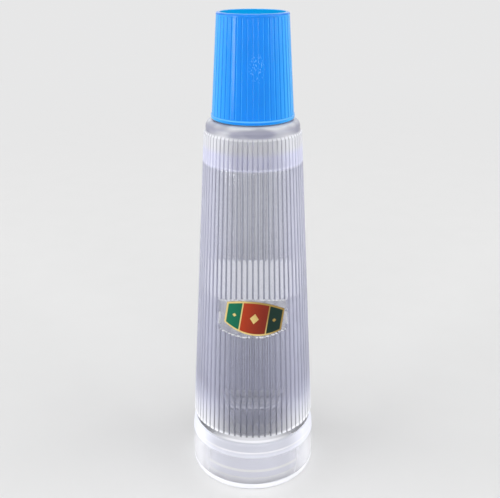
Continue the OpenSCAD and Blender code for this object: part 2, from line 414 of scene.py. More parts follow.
# %% Haze, tint and milk of the barrel
def foot_haze(here):
    """Haze at the foot's rim, and painted light: a glow in the rolled edge, two highlight lines, and white
    in the groove where it faces the viewer.
    """
    z, facing = here.z, here.facing
    groove = z.above(ROLL_HIGH * MM, 0.4 * MM) * z.below(FOOT_H * MM, 0.2 * MM)
    rim = (1 - groove) * facing.above(0.52, 0.2)
    lines = foot_highlight_lines(z) * facing.below(0.4, 0.2)
    roll = 0.04 + 0.5 * on_roll(z) + 0.25 * lines
    return roll + 0.6 * groove * facing.below(0.35, 0.2) + 0.6 * rim


def barrel_haze(here):
    """More haze at the rim and above the glue, a painted glow near the foot, painted highlights at both
    ends of the ribs and on their backs above the glue, and painted light and shade in the shoulder.
    """
    z, facing = here.z, here.facing
    ribbed = z.above(FOOT_H * MM, 0.3 * MM)
    above_ribs = z.above(RIB_TOP * MM, 0.4 * MM)
    backs = 1 - groove_mask(here)
    near_foot = ribbed * z.below(FOOT_GLOW_TOP * MM, 8.0 * MM)
    # Painted highlights: white milk on the rib ends at the foot and under the shoulder, and on the rib
    # backs at the sides above the glue.
    low_ends = ribbed * z.below(RIB_HEEL * MM, 0.7 * MM) * (0.1 + 0.4 * backs)
    low_ends = low_ends * (1 - 0.7 * here.far_wall())
    high_ends = z.above(RIB_TIP * MM, 0.2 * MM) * (0.02 + 0.16 * backs)
    dried = dried_film(z)
    in_air = 0.35 * above_fill(z) - 0.07 * dried + 0.16 * dried * backs * facing.above(0.2, 0.3)
    # Less milk in the grooves near the foot and up high, so that the painted shade of the grooves shows.
    soft_grooves = 0.6 * near_foot + 0.35 * z.above(SOFT_GROOVE_Z * MM, 20.0 * MM)
    contrast = 1 - (1 - backs) * soft_grooves
    rim = (facing - 0.09).math("MAXIMUM", 0.0).math("MINIMUM", 0.33) * (1 - 0.5 * dried)
    # Painted glow: the rim just above the foot is whiter, as if lit from the foot.
    rim = rim + 0.5 * near_foot * facing.above(0.36, 0.22)
    wall = (1 - above_ribs) * (ribbed * rim * contrast + in_air + high_ends)
    shoulder_edge = z.below(SHOULDER_BEND * MM, 0.6 * MM)
    wall = wall + 0.1 * above_ribs + (0.5 + 0.1 * shoulder_edge) * on_shoulder(z)
    return (1 - ribbed) * foot_haze(here) + low_ends + wall


def barrel_shade_tint(here):
    """Painted shade: a darker tint low down, in the grooves between the ribs, on the far wall and in the
    shoulder.
    """
    z = here.z
    ribbed = z.above(FOOT_H * MM, 0.1 * MM) * z.below(RIB_TOP * MM, 0.3 * MM)
    backs = mixed(z.above(RIB_PALER_Z * MM, 30 * MM), LOW_RIB_SHADE, HIGH_RIB_SHADE)
    grooves = mixed(z.above(GROOVE_PALER_Z * MM, 8 * MM), LOW_GROOVE_SHADE, HIGH_GROOVE_SHADE)
    ribs = mixed(groove_mask(here), backs, grooves)
    depth = NEAR_WALL + (FAR_WALL - NEAR_WALL) * here.far_wall()
    ribs = Wire.node(here.tree, "VectorMath", {"operation": "SCALE"}, {0: ribs, "Scale": depth})
    shoulder = mixed(on_shoulder(z), PLASTIC_TINT, SHOULDER_CLEAR_SHADE)
    return mixed(ribbed, shoulder, ribs)


def barrel_milk(here):
    """Lavender on the wall, white in a painted glow near the foot and on the dried film above the glue,
    painted highlight lines on the foot, and painted highlights and shade in the shoulder.
    """
    z = here.z
    whiter = z.below(WHITE_GLOW_TOP * MM, 6.0 * MM) + dried_film(z)
    wall = mixed(whiter, HAZE_MILK, WHITE_MILK)
    foot = mixed(foot_highlight_lines(z), mixed(on_roll(z), wall, ROLL_GLOW_MILK), LINE_HIGHLIGHT)
    # Painted light lifts the top of the shoulder, under the cap, out of the cap's shadow.
    upper = z.above(SHOULDER_BEND * MM, 0.6 * MM)
    pale = shoulder_light_patches(here.spot) * (0.7 + 0.3 * upper) + 0.38 * upper
    shoulder = mixed(pale, SHOULDER_MILK_SHADE, SHOULDER_MILK_HIGHLIGHT)
    return mixed(on_shoulder(z), foot, shoulder)


# %% [markdown]
# ## The other plastics
# The inside of the wall is clear up to the fill line and filmed above it, and the smooth panels are satin,
# so that the rear one catches the light that falls on it. The cup in the base is a milkier plastic, with a
# painted highlight along its edges and painted shade on the flat of its rim. Each could be a material built
# from nothing, but they differ from the barrel's only in their three functions, so one recipe serves them
# all.

# %% Plastic finishes
CUP_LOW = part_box("base_cup")[0].z / MM
CUP_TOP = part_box("base_cup")[1].z / MM
CUP_FLOOR = CUP_LOW + 3.0
CUP_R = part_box("base_cup")[1].x / MM
CUP_MILK = (0.89, 0.90, 1.0, 1)
# Painted shade on the cup's rim, and a painted highlight along its edges.
CUP_RIM_SHADE = (0.42, 0.43, 0.52, 1)
EDGE_HIGHLIGHT = (0.99, 0.99, 1.0, 1)


def inner_haze(here):
    """A film of glue has dried on the wall above the fill line, and the roof is clear."""
    return 0.2 * above_fill(here.z) * here.z.below(RIB_TOP * MM, 1.0 * MM)


def panel_haze(here):
    """The satin of the rear panel scatters the light that falls on it from outside."""
    outside = 1 - here.far_wall()
    return 0.03 + 0.1 * here.facing + 0.35 * outside * here.y.above(0.0, 1 * MM)


def cup_edges(z):
    """1 along the cup's rim and along both edges of its floor."""
    rim = z.above((CUP_TOP - 0.5) * MM, 0.15 * MM)
    floor_top = (z - (CUP_FLOOR + 0.1) * MM).size().below(0.45 * MM, 0.15 * MM)
    return rim + floor_top + z.below((CUP_LOW + 0.7) * MM, 0.15 * MM)


def cup_haze(here):
    return 0.9 + 0.1 * cup_edges(here.z)


def cup_milk(here):
    """A painted highlight along the edges, and painted shade on the flat of the rim."""
    sides = mixed(cup_edges(here.z), CUP_MILK, EDGE_HIGHLIGHT)
    from_axis = Wire.node(here.tree, "VectorMath", {"operation": "LENGTH"}, {0: here.level}, "Value")
    on_top = here.z.above((CUP_TOP - 0.05) * MM, 0.02 * MM)
    on_flat = on_top * from_axis.below((CUP_R - 0.45) * MM, 0.1 * MM)
    return mixed(on_flat, sides, CUP_RIM_SHADE)


def even_haze(share, at_rim):
    return lambda here: share + at_rim * here.facing


def even_tint(here):
    return PLASTIC_TINT


def even_milk(here):
    return WHITE_MILK


# CUT, DASH and FROST_HIGHLIGHT paint highlights with white milk: on the cut rib ends, and on the standing
# edge and the bottom of the bore, which are also frosted from use.
CLEAR = hazy_plastic("clear_plastic", 0.02, 0.05, barrel_haze, barrel_shade_tint, barrel_milk)
SATIN = hazy_plastic("satin_plastic", 0.14, 0.10, panel_haze, even_tint, barrel_milk)
CUT = hazy_plastic("cut_plastic", 0.25, 0.2, even_haze(0.4, 0.2), even_tint, even_milk)
FROST_HIGHLIGHT = hazy_plastic("frosted_highlight_plastic", 0.3, 0.2, even_haze(0.88, 0.1), even_tint, even_milk)
DASH = hazy_plastic("dashed_plastic", 0.3, 0.2, even_haze(0.65, 0.1), even_tint, even_milk)
INNER = hazy_plastic("inner_plastic", 0.02, 0.05, inner_haze, even_tint, barrel_milk)
BORE = hazy_plastic("bore_plastic", 0.02, 0.05, even_haze(0.0, 0.05), even_tint, even_milk)
MILKY = hazy_plastic("milky_plastic", 0.12, 0.10, cup_haze, even_tint, cup_milk)
BARREL_FINISHES = [CLEAR, SATIN, CUT, DASH, FROST_HIGHLIGHT, INNER, BORE]
print("plastic finishes:", [m.name for m in (*BARREL_FINISHES, MILKY)])

# %% [markdown]
# ## Barrel
# The barrel is one clear moulding: a smooth foot, a groove, a long cone of fine ribs, a rounded shoulder
# and the neck under the cap. The ribs are what the eye takes in first, because each one bends the light
# like a small lens. They are real relief in the mesh and not a bump, so they also break the outline. A rib
# is a formula of the angle, and it fades to nothing under the shoulder and on the two smooth panels, whose
# upper and lower edges are bowed.

# %% Barrel sizes
barrel_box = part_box("barrel")
FOOT_R = barrel_box[1].x / MM
NECK_TOP = barrel_box[1].z / MM
WALL = 1.5
FOOT_ROUND = 1.0
STANDING_EDGE = 2.2
ROLL_START = FOOT_H / 2
GROOVE_H = 2.4
RIB_DEPTH = 0.4
RIB_FADE = 0.75
RIB_FLAT = 0.02
RIB_FLANK = 0.26
RIB_CURVE = 2.2
RIB_END = 0.1
VALLEY_LOW = 17.3
VALLEY_HIGH = 12.45
GROOVE_R = VALLEY_LOW - 0.12
SHOULDER_R = VALLEY_HIGH - 0.1
SHOULDER_ROUND = 2.0
ROOF_Z = SHOULDER_TOP - WALL
ROOF_R = VALLEY_HIGH - WALL
ROOF_ROUND = 2.0
NECK_R = 7.9
NECK_EDGE = 0.4
NECK_BORE_R = 6.6
BORE_EDGE = 0.3
BORE_ROUND = 0.8
CUP_BORE_R = FOOT_R - 1.6
LEDGE_Z = CUP_TOP + 0.05
FROST_HIGHLIGHT_TOP = CUP_LOW + 0.35
PANEL_Z = 54.8
PANEL_W = 18.0
PANEL_SIDE_H = 8.4
BACK_SIDE_H = 10.4
PANEL_BOW = 1.4
PANEL_SINK = 0.12
PANEL_SOFT = 0.3
PANEL_ROW_STEP = 0.2
PANEL_LOW = PANEL_Z - PANEL_SIDE_H / 2
THREAD_PITCH = 3.0
THREAD_Z = 107.6
THREAD_TURNS = 2.2
THREAD_W = 1.1
THREAD_DEPTH = 0.45
THREAD_RUN_IN = 0.12
THREAD_MARGIN = 1.0
THREAD_ROW_STEP = 0.28
print("foot and neck, mm:", round(FOOT_R, 2), round(NECK_TOP, 2))


# %% Ribs, panels and thread
RIB_PHASES = np.array([
    0.0, 0.03, 0.075, 0.12, 0.165, 0.21, 0.27,
    0.5, 0.73, 0.79, 0.835, 0.88, 0.925, 0.97])


def valley_r(z):
    return VALLEY_LOW + (VALLEY_HIGH - VALLEY_LOW) * (z - FOOT_H) / (RIB_TOP - FOOT_H)


def rib_shape(phase):
    """Height of a rib across its pitch: a broad back between two narrow grooves."""
    from_groove = 0.5 - np.abs(phase - 0.5)
    climb = np.clip((from_groove - RIB_FLAT) / RIB_FLANK, 0, 1)
    return 1 - (1 - climb) ** RIB_CURVE


def rib_angles(count):
    steps = np.arange(count)[:, None] + RIB_PHASES[None, :]
    return steps.ravel() * math.tau / count


def bow(x, width, rise):
    """Height of a bowed edge above its ends, at x from the middle."""
    radius = (width * width / 4 + rise * rise) / (2 * rise)
    return np.sqrt(np.maximum(radius * radius - x * x, 0)) - radius + rise


def soft_step(value, soft):
    t = np.clip(value / soft + 0.5, 0, 1)
    return t * t * (3 - 2 * t)


def panel_mask(x, z, side_h):
    """1 on a smooth panel and 0 off it. Both panels have their lower corners at the same height."""
    top = PANEL_LOW + side_h + bow(x, PANEL_W, PANEL_BOW)
    low = PANEL_LOW - bow(x, PANEL_W, PANEL_BOW)
    across = soft_step(PANEL_W / 2 - np.abs(x), PANEL_SOFT)
    return across * soft_step(top - z, PANEL_SOFT) * soft_step(z - low, PANEL_SOFT)


def thread_ridge(z, angles, start):
    """Height of a screw thread, from 0 to 1, that climbs to the right from its start."""
    ridge = 0
    for turn in range(math.ceil(THREAD_TURNS)):
        along = angles / math.tau + turn
        aside = np.abs(z - start - THREAD_PITCH * along)
        run_in = np.clip(along / THREAD_RUN_IN, 0, 1)
        run_out = np.clip((THREAD_TURNS - along) / THREAD_RUN_IN, 0, 1)
        ridge = ridge + run_in * run_out * np.clip((THREAD_W / 2 - aside) / (THREAD_W / 4), 0, 1)
    return ridge


def barrel_relief(radius, z, angles):
    hair = 1e-6
    on_ribs = (z >= FOOT_H - hair) & (z <= RIB_TOP + hair) & (radius > valley_r(z) - 0.5)
    phase = np.mod(angles * RIB_COUNT / math.tau, 1)
    fade = np.clip((RIB_TOP - z) / RIB_FADE, 0, 1)
    x = radius * np.cos(angles)
    front = np.sin(angles) < 0
    panel = np.where(front, panel_mask(x, z, PANEL_SIDE_H), panel_mask(x, z, BACK_SIDE_H))
    ribs = RIB_DEPTH * rib_shape(phase) * fade * (1 - panel) - PANEL_SINK * panel
    clear_of_ends = (z > SHOULDER_TOP + NECK_EDGE) & (z < NECK_TOP - NECK_EDGE)
    on_neck = clear_of_ends & (np.abs(radius - NECK_R) < 0.1)
    return on_ribs * ribs + on_neck * THREAD_DEPTH * thread_ridge(z, angles, THREAD_Z)


# %% Make the barrel
ROWS_BELOW_PANEL = (30.0, 40.0)
ROWS_ABOVE_PANEL = (70.0, 85.0)
PANEL_ROWS = np.arange(PANEL_Z - 6.0, PANEL_Z + 8.4, PANEL_ROW_STEP)
THREAD_TOP = THREAD_Z + THREAD_PITCH * THREAD_TURNS
THREAD_ROWS = np.arange(THREAD_Z - THREAD_MARGIN, THREAD_TOP + THREAD_MARGIN, THREAD_ROW_STEP)
INSIDE_ROW = 60.0
FADE_STEPS = (1.0, 0.66, 0.33, 0.0)
rib_rows = [FOOT_H, *ROWS_BELOW_PANEL, *PANEL_ROWS, *ROWS_ABOVE_PANEL]
rib_rows += [RIB_TOP - RIB_FADE * share for share in FADE_STEPS]
roll_rise = FOOT_H - GROOVE_H - ROLL_START
barrel_profile = [
    (CUP_BORE_R, 0.0),
    *arc(FOOT_R - FOOT_ROUND, FOOT_ROUND, FOOT_ROUND, -90, 0, 6),
    (FOOT_R, STANDING_EDGE),
    *arc(GROOVE_R, ROLL_START, FOOT_R - GROOVE_R, 0, 90, 12, roll_rise),
    (GROOVE_R, FOOT_H - RIB_END),
    *[(valley_r(z), z) for z in rib_rows],
    (SHOULDER_R, RIB_TOP + RIB_END),
    *arc(SHOULDER_R - SHOULDER_ROUND, SHOULDER_TOP - SHOULDER_ROUND, SHOULDER_ROUND, 0, 90, 10),
    *arc(NECK_R + NECK_EDGE, SHOULDER_TOP + NECK_EDGE, NECK_EDGE, 270, 180, 4),
    *[(NECK_R, z) for z in THREAD_ROWS],
    *arc(NECK_R - NECK_EDGE, NECK_TOP - NECK_EDGE, NECK_EDGE, 0, 90, 4),
    *arc(NECK_BORE_R + BORE_EDGE, NECK_TOP - BORE_EDGE, BORE_EDGE, 90, 180, 3),
    *arc(NECK_BORE_R + BORE_ROUND, ROOF_Z + BORE_ROUND, BORE_ROUND, 180, 270, 4),
    *arc(ROOF_R - ROOF_ROUND, ROOF_Z - ROOF_ROUND, ROOF_ROUND, 90, 0, 6),
    (valley_r(INSIDE_ROW) - WALL, INSIDE_ROW),
    (valley_r(LEDGE_Z) - WALL, LEDGE_Z),
    (CUP_BORE_R, LEDGE_Z),
    (CUP_BORE_R, FROST_HIGHLIGHT_TOP),
]
barrel = lathe("barrel_clear", barrel_profile, rib_angles(RIB_COUNT), barrel_relief)
settle(barrel, "bottle", "clear_plastic", BARREL_FINISHES, "barrel")

# %% [markdown]
# ## Finishes of the barrel's faces
# One moulding can have several finishes. The panels are satin, the ribs that end at a panel are cut off
# and show a rough end with a painted highlight, the standing edge is frosted from use and whitened further
# as a painted highlight, and the bore for the cup is polished.
# Each face takes its finish from the place of its centre, so nothing has to be picked by hand.

# %% Give each face its finish
def finish_at(x, y, z):
    """The finish of a face from the place of its centre in millimetres."""
    radius = math.hypot(x, y)
    inside = radius < valley_r(z) - 0.4
    if z < STANDING_EDGE:
        return FROST_HIGHLIGHT
    if z < LEDGE_Z and radius < CUP_BORE_R + 0.1:
        return FROST_HIGHLIGHT if z < FROST_HIGHLIGHT_TOP else BORE
    if inside and z < ROOF_Z + 0.1:
        return INNER
    if inside or z < FOOT_H or z > RIB_TOP:
        return CLEAR
    mask = float(panel_mask(np.float64(x), z, BACK_SIDE_H if y > 0 else PANEL_SIDE_H))
    on_rib = rib_shape(math.atan2(y, x) * RIB_COUNT / math.tau % 1) > 0.5
    if mask > 0.9 or mask < 0.1 or not on_rib:
        return SATIN if mask > 0.9 else CLEAR
    return DASH if z < PANEL_LOW else CUT


finishes = [finish_at(*(value / MM for value in face.center)) for face in barrel.data.polygons]
finish_index = [BARREL_FINISHES.index(finish) for finish in finishes]
barrel.data.polygons.foreach_set("material_index", finish_index)
print("faces by finish:", {finish.name: finishes.count(finish) for finish in BARREL_FINISHES})

# %% [markdown]
# ## Base cup
# The barrel is moulded open at the bottom, and a shallow cup is pressed up into the foot until its rim
# meets a ledge. A thin film of air stays between the two walls, which is why the foot of such a bottle
# looks so bright; here a painted glow in the milk of the barrel's foot adds to it. The cup could be joined
# to the barrel's mesh, but as a piece of its own it keeps that film.

# %% Make the base cup
CUP_INSIDE_R = CUP_R - 1.5
CUP_ROUND = 0.8
CUP_EDGE = 0.25
CUP_CHAMFER = 0.3
cup_profile = [
    (0, CUP_LOW),
    *arc(CUP_R - CUP_EDGE, CUP_LOW + CUP_EDGE, CUP_EDGE, -90, 0, 3),
    (CUP_R, CUP_TOP - CUP_CHAMFER),
    (CUP_R - CUP_CHAMFER, CUP_TOP),
    (CUP_INSIDE_R, CUP_TOP),
    *arc(CUP_INSIDE_R - CUP_ROUND, CUP_FLOOR + CUP_ROUND, CUP_ROUND, 0, -90, 6),
    (0, CUP_FLOOR),
]
cup = lathe("base_cup_clear", cup_profile, even_angles(180))
settle(cup, "bottle", "milky_plastic", [MILKY], "base_cup")

# %% [markdown]
# ## Glue
# Liquid against a wall has no air between, so its mesh reaches a few hundredths of a millimetre into the
# plastic. Light then meets plastic, glue and plastic in turn and comes out bent as it should. At the
# surface the glue creeps up the wall in a small meniscus. A liquid is even all through, so its finish has
# no noise.

# %% Make the glue
GLUE_COLOUR = (0.96, 0.965, 0.98, 1)
GLUE_IOR = 1.37
INTO_WALL = 0.03
MENISCUS = 0.7
GLUE_ROW = 50.0
liquid_glue = new_finish(
    "liquid_glue", Base_Color=GLUE_COLOUR, Roughness=0.0, IOR=GLUE_IOR, Transmission_Weight=1.0)[0]


def glue_wall(z):
    """Where the glue ends at a height: just inside the plastic."""
    return valley_r(z) - WALL + INTO_WALL


glue_r = CUP_INSIDE_R + INTO_WALL
glue_low = CUP_FLOOR - INTO_WALL
creep_z = FILL_Z + MENISCUS
glue_profile = [
    (0, glue_low),
    *arc(glue_r - CUP_ROUND, glue_low + CUP_ROUND, CUP_ROUND, -90, 0, 6),
    (glue_r, CUP_TOP - INTO_WALL),
    (glue_wall(CUP_TOP), CUP_TOP - INTO_WALL),
    (glue_wall(GLUE_ROW), GLUE_ROW),
    (glue_wall(creep_z), creep_z),
    *arc(glue_wall(FILL_Z) - MENISCUS, creep_z, MENISCUS, -12, -90, 8),
    (0, FILL_Z),
]
glue = lathe("glue_liquid", glue_profile, even_angles(240))
settle(glue, "bottle", "liquid_glue", [liquid_glue], "glue")

# %% [markdown]
# ## Badge
# A small foil sticker is pressed on the front panel, bent round the cone and a little askew. The print is a
# plain pattern of bands and lozenges with a gold edge. The foil shines through the inks, so both are metal,
# and inks and gold deepen to one side, where the foil turns from the light. Every mask is worked out from
# the place across and up the sticker. The reverse is pale, because it shows through the bottle from behind.

# %% Badge foil
BADGE_W = 15.6
BADGE_SIDE_H = 5.9
BADGE_BOW = 1.9
BADGE_TILT = math.radians(9.0)
BADGE_SHIFT = 0.4
GOLD_EDGE = 0.45
PRINT_SOFT = 0.05
CENTRE_HALF = 3.6
RULE_HALF = 0.16
LOZENGE_HALF = 1.2
LOZENGE_SLANT = 0.8
SIDE_LOZENGE_X = 5.4
SIDE_LOZENGE_HALF = 0.55
GOLD = (0.86, 0.66, 0.26, 1)
DEEP_GOLD = (0.40, 0.26, 0.07, 1)
RED = (0.55, 0.05, 0.006, 1)
GREEN = (0.0, 0.17, 0.085, 1)
DEEP_RED = (0.20, 0.014, 0.003, 1)
DEEP_GREEN = (0.0, 0.022, 0.014, 1)
BACKING = (0.90, 0.90, 0.89, 1)
ADHESIVE = (0.80, 0.80, 0.77, 1)


def gold_mask(across, rise):
    """1 on the gold edge, the rules beside the centre and the three lozenges."""
    soft = PRINT_SOFT * MM
    aside, off = across.size(), rise.size()
    curve = 1 - (across * (2 / (BADGE_W * MM))) ** 2
    half = curve * (BADGE_BOW * MM) + BADGE_SIDE_H / 2 * MM
    field = (half - off).above(GOLD_EDGE * MM, soft)
    field = field * aside.below(BADGE_W / 2 * MM - GOLD_EDGE * MM, soft)
    rule = (aside - CENTRE_HALF * MM).size().below(RULE_HALF * MM, soft)
    lozenge = (aside + off * LOZENGE_SLANT).below(LOZENGE_HALF * MM, soft)
    side = ((aside - SIDE_LOZENGE_X * MM).size() + off).below(SIDE_LOZENGE_HALF * MM, soft)
    return (1 - field).math("MAXIMUM", rule).math("MAXIMUM", lozenge).math("MAXIMUM", side)


def badge_foil():
    material, tree, shader = new_finish("badge_foil", IOR=1.5, Coat_Weight=0.2)
    spot = place(tree)
    x, z = axes(spot, "XZ")
    aside, up = x - BADGE_SHIFT * MM, z - PANEL_Z * MM
    across = aside * math.cos(BADGE_TILT) - up * math.sin(BADGE_TILT)
    rise = aside * math.sin(BADGE_TILT) + up * math.cos(BADGE_TILT)
    gold = gold_mask(across, rise)
    deep = across.above(-2.0 * MM, 6.0 * MM)
    edge_deep = (across * 0.25 + rise * 0.2).above(0.4 * MM, 1.0 * MM)
    centre = across.size().below(CENTRE_HALF * MM, PRINT_SOFT * MM)
    ink = mixed(centre, mixed(deep, GREEN, DEEP_GREEN), mixed(deep, RED, DEEP_RED))
    foil = mixed(edge_deep, GOLD, DEEP_GOLD)
    wear = noise(spot, 700.0, 3.0)
    paint(shader, Base_Color=mixed(gold, ink, foil))
    paint(shader, Metallic=0.65 + 0.3 * gold, Roughness=0.16 + 0.16 * wear)
    bump(shader, noise(spot, 420.0), 0.08, 0.3 * MM)
    return material


def badge_backing():
    """The foil's reverse, seen through the bottle: pale under a thin, uneven coat of adhesive."""
    material, tree, shader = new_finish("badge_backing", Metallic=0.1)
    coat = noise(place(tree), 500.0, 3.0)
    paint(shader, Base_Color=mixed(coat, ADHESIVE, BACKING), Roughness=0.3 + 0.2 * coat)
    return material


# %% Make the badge
BADGE_T = 0.2
BADGE_GAP = 0.03


def badge_mesh(name, columns=44, rows=20):
    """A bowed outline laid on the cone, as a thin closed sheet."""
    cos_t, sin_t = math.cos(BADGE_TILT), math.sin(BADGE_TILT)
    vertices, faces = [], []
    for lift in (BADGE_GAP, BADGE_GAP + BADGE_T):
        for u in np.linspace(-BADGE_W / 2, BADGE_W / 2, columns + 1):
            half = BADGE_SIDE_H / 2 + float(bow(u, BADGE_W, BADGE_BOW))
            for v in np.linspace(-half, half, rows + 1):
                x = BADGE_SHIFT + u * cos_t + v * sin_t
                z = PANEL_Z - u * sin_t + v * cos_t
                r = valley_r(z) - PANEL_SINK + lift
                vertices.append((x * MM, -math.sqrt(r * r - x * x) * MM, z * MM))
    side = rows + 1
    sheet = (columns + 1) * side
    for i in range(columns):
        for j in range(rows):
            a = i * side + j
            quad = (a, a + 1, a + side + 1, a + side)
            faces.append(quad)
            faces.append(tuple(sheet + k for k in reversed(quad)))
    rim = [i * side for i in range(columns + 1)]
    rim += [columns * side + j for j in range(1, side)]
    rim += [i * side + rows for i in range(columns - 1, -1, -1)]
    rim += [j for j in range(rows - 1, 0, -1)]
    for a, b in zip(rim, rim[1:] + rim[:1]):
        faces.append((a, b, sheet + b, sheet + a))
    return new_object(name, vertices, faces)


badge = badge_mesh("badge_foil_sheet")
settle(badge, "bottle", "badge_foil", [badge_foil(), badge_backing()], "badge")
on_back = [face.normal.y > 0.5 for face in badge.data.polygons]
badge.data.polygons.foreach_set("material_index", np.array(on_back, dtype=np.int32))
print("faces of the badge's back:", sum(on_back))

# %% [markdown]
# ## Cap
# The screw cap is blue polypropylene, a little waxy and translucent, with ribs for the fingers between a
# plain lip and a smooth crown. It is one shell, so its profile runs from the crown's inside down the wall,
# round the lip and back up the outside. The crown lies a little below its rim, with the mark of the mould's
# gate in the middle, and it has a finish of its own without the gloss of the sides, in a paler cyan that is
# painted light from above. The sides pale towards the outline in a painted sheen. Wear and a painted
# highlight make the lip's edge paler, a painted highlight pales the crown's rim, and wear shows as fine
# scuffs on the front, where the thumb goes.

# %% Cap sizes
cap_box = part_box("cap_shell")
CAP_LOW = cap_box[0].z / MM
CAP_TOP = cap_box[1].z / MM
CAP_R_LOW = 10.75
CAP_R_HIGH = 9.1
CAP_RIB_COUNT = 44
CAP_RIB_DEPTH = 0.15
CAP_FLANK = 0.2
CAP_CURVE = 1.6
CAP_WALL = 1.0
CAP_EDGE = 0.5
CAP_STEP = 0.02
CAP_BAND_Z = CAP_TOP - CAP_EDGE - 0.3
CROWN_INSIDE_Z = CAP_TOP - 1.4
CAP_RIM_R = CAP_R_HIGH - CAP_EDGE - 0.35
LIP_R = CAP_R_LOW + 0.12
LIP_TOP = CAP_LOW + 1.1
LIP_ROUND = 0.3
LIP_CHAMFER = 0.2
CROWN_Z = CAP_TOP - 0.15
GATE_R = 1.3
GATE_Z = CROWN_Z - 0.25
GATE_SLOPE = 0.25
RIM_CHAMFER = 0.05
CROWN_ROUND = 0.4
BEAD_Z = CROWN_INSIDE_Z - 2.8
BEAD_HALF = 0.4
BEAD_DEPTH = 0.6
CAP_MIDDLE_ROWS = (115.0, 123.0)
CAP_THREAD_R = 8.55
CAP_THREAD_Z = THREAD_Z + THREAD_PITCH / 2
print("cap from and to, mm:", round(CAP_LOW, 2), round(CAP_TOP, 2))

# %% Cap finish
CAP_BLUE = (0.002, 0.225, 0.81, 1)
# The crown's paler cyan is painted light from above.
CROWN_LIT_BLUE = (0.003, 0.34, 0.82, 1)
CAP_SCUFF = (0.10, 0.40, 0.90, 1)
# Wear and a painted highlight on the lip's edge.
CAP_WORN_HIGHLIGHT = (0.09, 0.42, 0.86, 1)
# Painted sheen on the sides of the cap.
CAP_SHEEN = (0.04, 0.43, 0.90, 1)
# Painted highlight on the crown's rim.
RIM_HIGHLIGHT = (0.45, 0.80, 0.98, 1)
SCUFF_X = 0.9
SCUFF_Z = 119.6
SCUFF_HALF_W = 2.2
SCUFF_HALF_H = 4.0


def darker(colour, share):
    return tuple(c * share for c in colour[:3]) + (1,)


def scuff_mask(spot, x, y, z):
    """Fine scratches in an oval patch on the front."""
    aside = ((x - SCUFF_X * MM) * (1 / (SCUFF_HALF_W * MM))) ** 2
    patch = aside + ((z - SCUFF_Z * MM) * (1 / (SCUFF_HALF_H * MM))) ** 2
    scratch = noise(stretched(spot, (2600, 2600, 1700)), 1.0).above(0.60, 0.06)
    return 0.7 * scratch * patch.below(0.6, 0.5) * y.below(0, 1 * MM)


def cap_plastic(name, colour, **shine):
    material, tree, shader = new_finish(
        name, IOR=1.48, Subsurface_Weight=0.12, Subsurface_Scale=0.6 * MM, **shine)
    spot = place(tree)
    x, y, z = axes(spot)
    cloud = noise(spot, 120.0, 3.0)
    scuff = scuff_mask(spot, x, y, z)
    blue = mixed(scuff, mixed(cloud, darker(colour, 0.86), colour), CAP_SCUFF)
    # Painted sheen: the sides pale towards the outline.
    sheen = Wire.node(tree, "LayerWeight", sockets={"Blend": 0.5}, output="Facing").above(0.3, 0.3)
    painted_sheen = mixed(0.8 * sheen * z.below((CAP_TOP - CAP_EDGE) * MM, 0.1 * MM), blue, CAP_SHEEN)
    # Wear and a painted highlight pale the lip's upper edge, and a painted highlight pales the crown's rim.
    lip_edge = (z - (LIP_TOP - 0.2) * MM).size().below(0.16 * MM, 0.1 * MM)
    radius = (x * x + y * y) ** 0.5
    crown_rim = z.above((CROWN_Z + 0.06) * MM, 0.04 * MM)
    crown_rim = 0.6 * crown_rim * radius.below((CAP_RIM_R + 0.25) * MM, 0.1 * MM)
    worn_and_highlit = mixed(crown_rim, mixed(lip_edge, painted_sheen, CAP_WORN_HIGHLIGHT), RIM_HIGHLIGHT)
    wear = noise(stretched(spot, (900, 900, 120)), 1.0, 4.0)
    paint(shader, Base_Color=worn_and_highlit, Roughness=0.12 + 0.10 * wear + 0.2 * scuff)
    bump(shader, noise(spot, 1500.0), 0.06, 0.05 * MM)
    return material


CAP_SIDE = cap_plastic("cap_blue", CAP_BLUE, Specular_IOR_Level=0.3)
CAP_CROWN = cap_plastic("cap_crown", CROWN_LIT_BLUE, Specular_IOR_Level=0.0)
print("cap finishes:", CAP_SIDE.name, CAP_CROWN.name)


# %% Ribs and thread of the cap
def cap_crest_r(z):
    return CAP_R_LOW + (CAP_R_HIGH - CAP_R_LOW) * (z - CAP_LOW) / (CAP_TOP - CAP_LOW)


def cap_inside_r(z):
    return cap_crest_r(z) - CAP_RIB_DEPTH - CAP_WALL


def flat_rib(phase):
    """Depth below the crest across one rib of the cap: a flat back between two soft grooves."""
    aside = np.abs(phase - 0.5)
    climb = np.clip((0.5 - aside) / CAP_FLANK, 0, 1)
    flat = np.cos(math.pi / CAP_RIB_COUNT) / np.cos(aside * math.tau / CAP_RIB_COUNT) - 1
    return CAP_R_HIGH * flat - CAP_RIB_DEPTH * (1 - climb) ** CAP_CURVE


def cap_relief(radius, z, angles):
    ribbed = (z > LIP_TOP) & (z < CAP_BAND_Z) & (radius > cap_crest_r(z) - 0.5)
    phase = np.mod(angles * CAP_RIB_COUNT / math.tau, 1)
    threaded = (np.abs(radius - cap_inside_r(z)) < 0.1) & (z < BEAD_Z - 1)
    ridge = thread_ridge(z, angles, CAP_THREAD_Z)
    return ribbed * flat_rib(phase) - threaded * (radius - CAP_THREAD_R) * ridge


